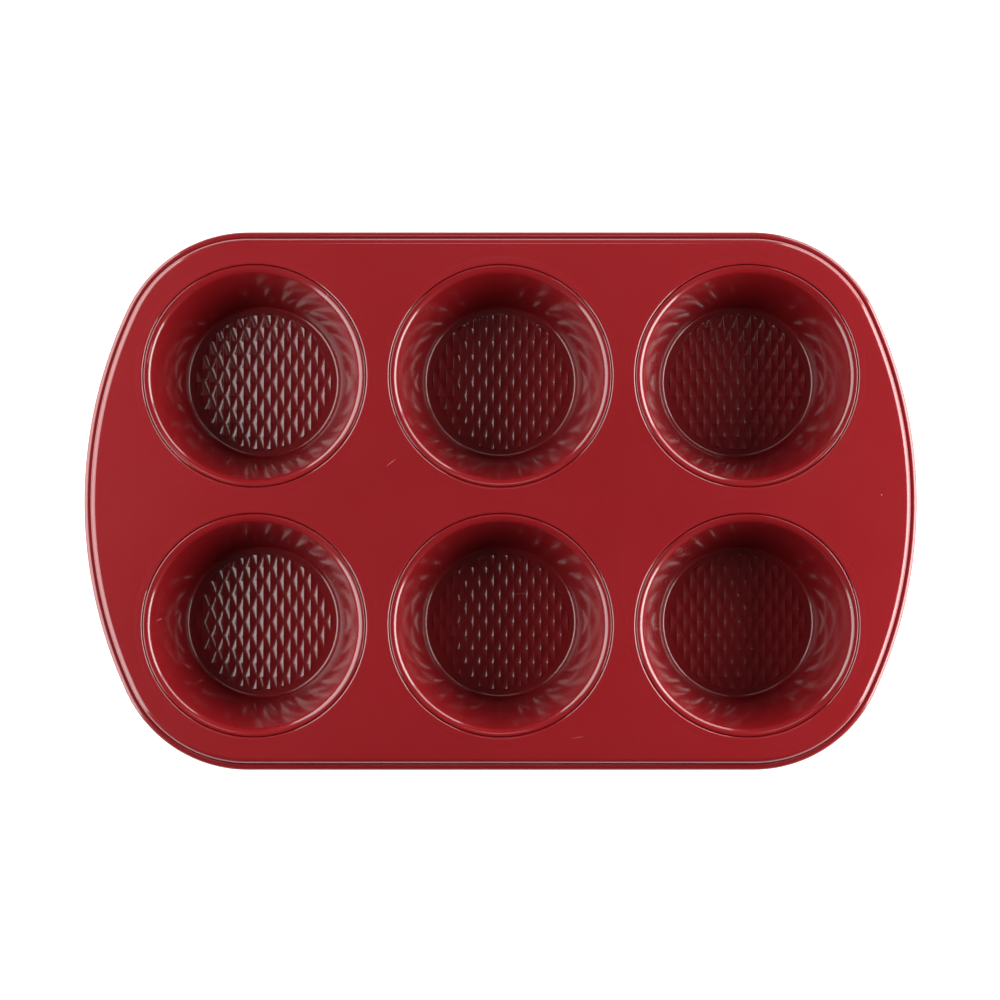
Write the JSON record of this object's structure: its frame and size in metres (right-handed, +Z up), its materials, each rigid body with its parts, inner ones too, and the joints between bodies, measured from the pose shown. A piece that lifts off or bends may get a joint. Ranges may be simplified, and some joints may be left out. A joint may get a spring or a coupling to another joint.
{
  "type": "muffin tin",
  "caption": "Muffin tin: a flat deck with bowed ends and a rolled, wired rim, and round tapered cups with diamond-embossed floors seamed into it.",
  "frame": {"origin": "on the table, under the middle of the tin", "axes": "+X along the long side towards the right-hand cups, +Y towards the back row of cups, +Z up"},
  "size_m": [0.278, 0.1796, 0.0325],
  "materials": {
    "deck_coating": "glossy red non-stick coating, a little worn",
    "cup_coating": "glossy red non-stick coating",
    "wire_steel": "bare drawn steel wire, hidden in the roll"
  },
  "bodies": {
    "root": {"deck": "deck_coating", "rim_wire": "wire_steel", "cup_back_left": "cup_coating", "cup_back_middle": "cup_coating", "cup_back_right": "cup_coating", "cup_front_left": "cup_coating", "cup_front_middle": "cup_coating", "cup_front_right": "cup_coating"}
  },
  "joints": []
}
